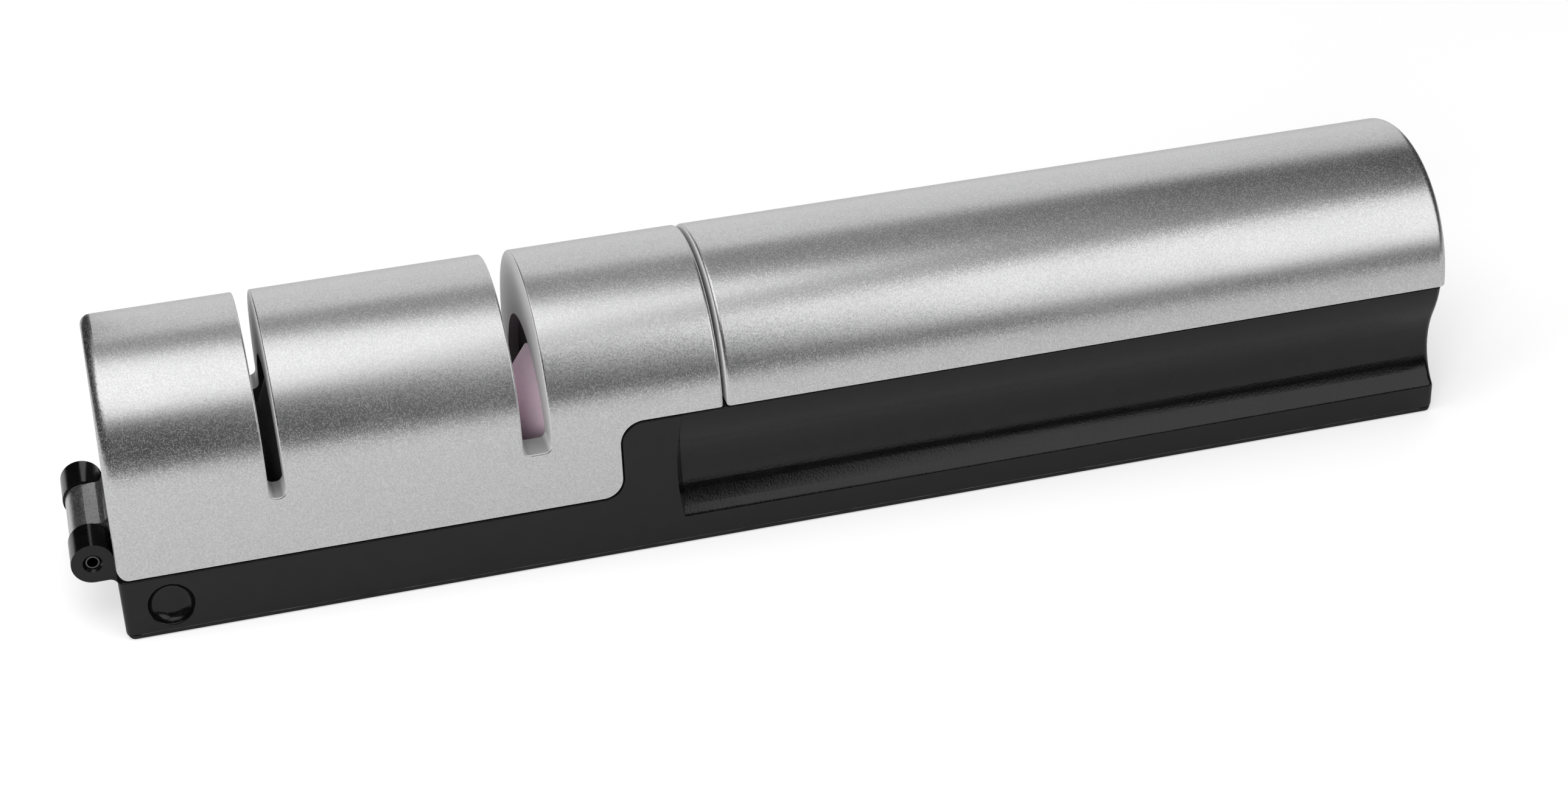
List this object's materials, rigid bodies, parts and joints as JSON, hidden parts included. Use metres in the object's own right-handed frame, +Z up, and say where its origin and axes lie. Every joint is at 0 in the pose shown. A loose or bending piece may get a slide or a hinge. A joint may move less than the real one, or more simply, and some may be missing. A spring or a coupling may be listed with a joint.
{
  "type": "two-stage knife sharpener",
  "caption": "Hand-held pull-through knife sharpener: a hinged half-round front cover with two V slots over turning sharpening wheels, and a grooved handle on a flat base.",
  "frame": {"origin": "on the surface that the foot pads stand on, under the middle of the part's overall box", "axes": "+X along the body from the hinge end to the handle end, +Z up, +Y away from the side that the picture shows"},
  "size_m": [0.2222, 0.04, 0.0432],
  "materials": {
    "silver_paint": "satin metallic silver with a fine grain",
    "black_body": "satin black",
    "black_frame": "matte black",
    "pad": "matte",
    "steel": "turned",
    "screw": "zinc plated",
    "spring_steel": "rolled",
    "bush": "natural acetal",
    "diamond_grit": "fine diamond grit",
    "pink_ceramic": "matte, fine grained"
  },
  "bodies": {
    "base": {"base_body": "black_body", "bottom_plate": "black_body", "foot_pads": "pad", "handle_cover": "silver_paint", "hinge_pin": "steel", "diamond_bush_left": "bush", "diamond_bush_right": "bush", "ceramic_bush_left": "bush", "ceramic_bush_right": "bush", "diamond_cradle": "black_frame", "ceramic_cradle": "black_frame", "cradle_screws": "screw", "handle_cover_screws": "screw", "bottom_plate_screws": "screw", "latch_screw": "screw", "latch_spring": "spring_steel"},
    "cover": {"front_cover": "silver_paint"},
    "diamond_rotor": {"diamond_axle": "steel", "diamond_wheel_left": "diamond_grit", "diamond_wheel_right": "diamond_grit", "diamond_washers": "steel", "diamond_clips": "steel"},
    "ceramic_rotor": {"ceramic_axle": "steel", "ceramic_wheel_left": "pink_ceramic", "ceramic_wheel_right": "pink_ceramic", "ceramic_washers": "steel", "ceramic_clips": "steel"}
  },
  "joints": [
    {"name": "cover_hinge", "type": "hinge", "parent": "base", "child": "cover", "pos_m": [-0.10785, 0, 0.0104], "axis": [0, -1, 0], "range_deg": [0, 100]},
    {"name": "diamond_wheels_spin", "type": "hinge", "parent": "base", "child": "diamond_rotor", "pos_m": [-0.07955, 0, 0.0172], "axis": [1, 0, 0], "continuous": true},
    {"name": "ceramic_wheels_spin", "type": "hinge", "parent": "base", "child": "ceramic_rotor", "pos_m": [-0.0401, 0, 0.0172], "axis": [1, 0, 0], "continuous": true}
  ]
}
